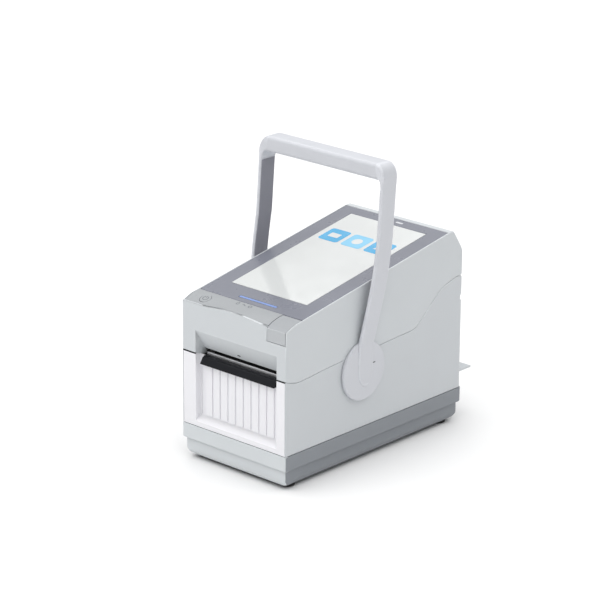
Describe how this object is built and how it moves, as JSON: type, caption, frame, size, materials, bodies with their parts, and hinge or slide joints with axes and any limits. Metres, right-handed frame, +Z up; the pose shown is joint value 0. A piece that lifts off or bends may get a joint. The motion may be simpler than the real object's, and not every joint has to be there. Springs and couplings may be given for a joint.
{
  "type": "label printer",
  "caption": "Portable desktop thermal label printer with a tilted touch display on a rear-hinged cover, a front label slot and a swing-up carry handle.",
  "frame": {"origin": "centre of the bounding box in plan, on the surface that the feet stand on", "axes": "+Z up, the label slot faces -Y, +X to the right of a person who faces the slot; x = 0 is the middle of the body"},
  "size_m": [0.1406, 0.2506, 0.2622],
  "materials": {
    "body_plastic": "fine moulded texture",
    "front_plastic": "fine moulded texture",
    "strip_plastic": "satin",
    "bezel_plastic": "semi-gloss",
    "base_plastic": "fine moulded texture",
    "handle_plastic": "satin",
    "liner_plastic": "matt",
    "display_glass": "polished",
    "black_rubber": "matt",
    "black_plastic": "matt",
    "bright_steel": "ground",
    "zinc_plate": "plated",
    "aluminium_heat_sink": "extruded",
    "white_acetal": "satin",
    "circuit_board": "solder mask",
    "battery_case": "matt",
    "light_guide": "diffuse"
  },
  "bodies": {
    "printer": {"base_shell": "base_plastic", "base_deck": "base_plastic", "battery_pack": "battery_case", "foot_front_left": "black_rubber", "foot_front_right": "black_rubber", "foot_rear_left": "black_rubber", "foot_rear_right": "black_rubber", "housing": "body_plastic", "front_panel": "front_plastic", "tear_bar": "black_plastic", "tear_blade": "bright_steel", "frame_plate_left": "zinc_plate", "frame_plate_right": "zinc_plate", "frame_crossbar": "zinc_plate", "label_sensor": "black_plastic", "platen_bush_left": "white_acetal", "platen_bush_right": "white_acetal", "idler_post": "bright_steel", "stepper_motor": "black_plastic", "media_tray": "black_plastic", "main_board": "circuit_board", "port_block": "black_plastic", "dc_inlet": "black_plastic", "hinge_pin_left": "bright_steel", "hinge_pin_right": "bright_steel", "pivot_bolt_left": "bright_steel", "pivot_bolt_right": "bright_steel"},
    "cover": {"cover_shell": "body_plastic", "control_strip": "strip_plastic", "display_bezel": "bezel_plastic", "display_board": "circuit_board", "display_chassis": "zinc_plate", "screen_glass": "display_glass", "lcd_panel": "zinc_plate", "status_light_bar": "light_guide", "cover_liner": "black_plastic", "head_carrier": "black_plastic", "head_pivot": "bright_steel", "lever_pin": "bright_steel", "head_spring_left": "bright_steel", "head_spring_right": "bright_steel"},
    "handle": {"handle_frame": "handle_plastic", "handle_liner_left": "liner_plastic", "handle_liner_right": "liner_plastic"},
    "release_lever": {"release_lever": "strip_plastic"},
    "latch_bar": {"latch_bar": "zinc_plate"},
    "power_button": {"power_button": "strip_plastic"},
    "head": {"head_bracket": "zinc_plate", "print_head": "aluminium_heat_sink"},
    "platen": {"platen_shaft": "bright_steel", "platen_roller": "black_rubber", "platen_gear": "white_acetal"},
    "idler_gear": {"idler_gear": "white_acetal"},
    "motor_pinion": {"motor_pinion": "bright_steel"},
    "guide_left": {"media_guide_left": "body_plastic"},
    "guide_right": {"media_guide_right": "body_plastic"},
    "guide_pinion": {"guide_pinion": "white_acetal"},
    "rear_guide": {"rear_guide_plate": "body_plastic"}
  },
  "joints": [
    {"name": "handle_swing", "type": "hinge", "parent": "printer", "child": "handle", "pos_m": [0, -0.0307, 0.084], "axis": [-1, 0, 0], "range_deg": [0, 85]},
    {"name": "cover_open", "type": "hinge", "parent": "printer", "child": "cover", "pos_m": [0, 0.0998, 0.1346], "axis": [-1, 0, 0], "range_deg": [0, 30]},
    {"name": "lever_lift", "type": "hinge", "parent": "cover", "child": "release_lever", "pos_m": [0.0481, -0.1073, 0.143], "axis": [-1, 0, 0], "range_deg": [0, 8], "stiffness_Nm_per_rad": 0.08, "springref_deg": -8.59},
    {"name": "latch_turn", "type": "hinge", "parent": "cover", "child": "latch_bar", "pos_m": [0, -0.0987, 0.1217], "axis": [1, 0, 0], "range_deg": [0, 8.5]},
    {"name": "button_press", "type": "slide", "parent": "cover", "child": "power_button", "axis": [0, 0, -1], "range_m": [0, 0.0008], "stiffness_N_per_m": 400, "springref_m": -0.0005},
    {"name": "head_float", "type": "hinge", "parent": "cover", "child": "head", "pos_m": [0.0024, -0.0727, 0.1131], "axis": [-1, 0, 0], "range_deg": [0, 2], "stiffness_Nm_per_rad": 2, "springref_deg": -5.73, "deforming": ["head_spring_left", "head_spring_right"]},
    {"name": "platen_turn", "type": "hinge", "parent": "printer", "child": "platen", "pos_m": [0.0024, -0.1016, 0.0905], "axis": [1, 0, 0], "continuous": true},
    {"name": "idler_turn", "type": "hinge", "parent": "printer", "child": "idler_gear", "pos_m": [-0.0508, -0.08043, 0.07924], "axis": [1, 0, 0], "continuous": true},
    {"name": "pinion_turn", "type": "hinge", "parent": "printer", "child": "motor_pinion", "pos_m": [-0.0508, -0.08443, 0.06048], "axis": [1, 0, 0], "continuous": true},
    {"name": "guide_left_slide", "type": "slide", "parent": "printer", "child": "guide_left", "axis": [1, 0, 0], "range_m": [0, 0.027]},
    {"name": "guide_right_slide", "type": "slide", "parent": "printer", "child": "guide_right", "axis": [-1, 0, 0], "range_m": [0, 0.0272]},
    {"name": "guide_pinion_turn", "type": "hinge", "parent": "printer", "child": "guide_pinion", "pos_m": [0.0024, 0.0158, 0.04], "axis": [0, 0, 1], "range_deg": [0, 215]},
    {"name": "rear_guide_fold", "type": "hinge", "parent": "printer", "child": "rear_guide", "pos_m": [0, 0.1063, 0.043], "axis": [1, 0, 0], "range_deg": [0, 85]}
  ],
  "couplings": [
    {"joint": "latch_turn", "follows": "lever_lift", "ratio": 1},
    {"joint": "idler_turn", "follows": "platen_turn", "ratio": -0.75},
    {"joint": "pinion_turn", "follows": "platen_turn", "ratio": 2},
    {"joint": "guide_right_slide", "follows": "guide_left_slide", "ratio": 1},
    {"joint": "guide_pinion_turn", "follows": "guide_left_slide", "rad_per_m": 136.24}
  ]
}
